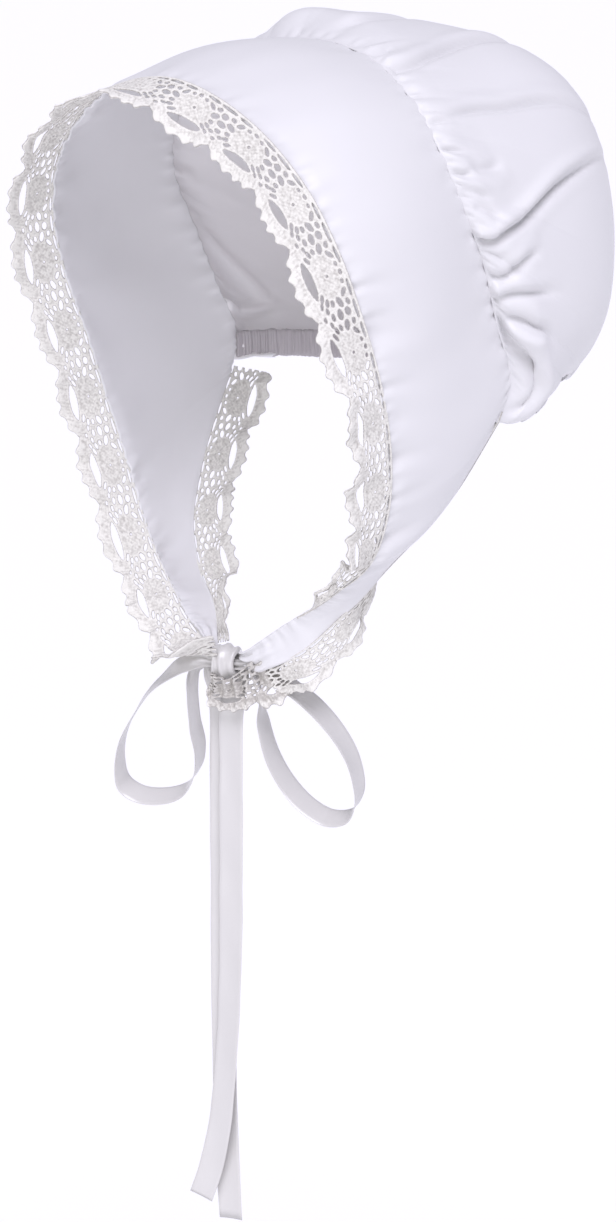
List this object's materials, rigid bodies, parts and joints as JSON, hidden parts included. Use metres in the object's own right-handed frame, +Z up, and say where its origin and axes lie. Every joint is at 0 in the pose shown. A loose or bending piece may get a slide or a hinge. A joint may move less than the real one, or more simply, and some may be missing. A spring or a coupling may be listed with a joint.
{
  "type": "prairie bonnet",
  "caption": "Cloth prairie bonnet with a wide brim, a puffed crown gathered into it, chin flaps edged with cotton lace and a satin ribbon tied under the chin.",
  "frame": {"origin": "top of the head, just under the cloth where brim and crown meet, on the bonnet's middle plane", "axes": "+Z up, the wearer faces -Y, +X is the wearer's left"},
  "size_m": [0.2303, 0.2748, 0.6162],
  "materials": {
    "cotton_cloth": "plain woven cotton broadcloth",
    "cotton_lace": "cotton cluny lace",
    "satin_ribbon": "soft satin"
  },
  "bodies": {
    "root": {"brim": "cotton_cloth", "crown": "cotton_cloth", "neck_casing": "cotton_cloth", "lace_front": "cotton_lace", "lace_rear_left": "cotton_lace", "lace_rear_right": "cotton_lace", "tie_left": "satin_ribbon", "tie_right": "satin_ribbon", "bow_knot": "satin_ribbon"}
  },
  "joints": []
}
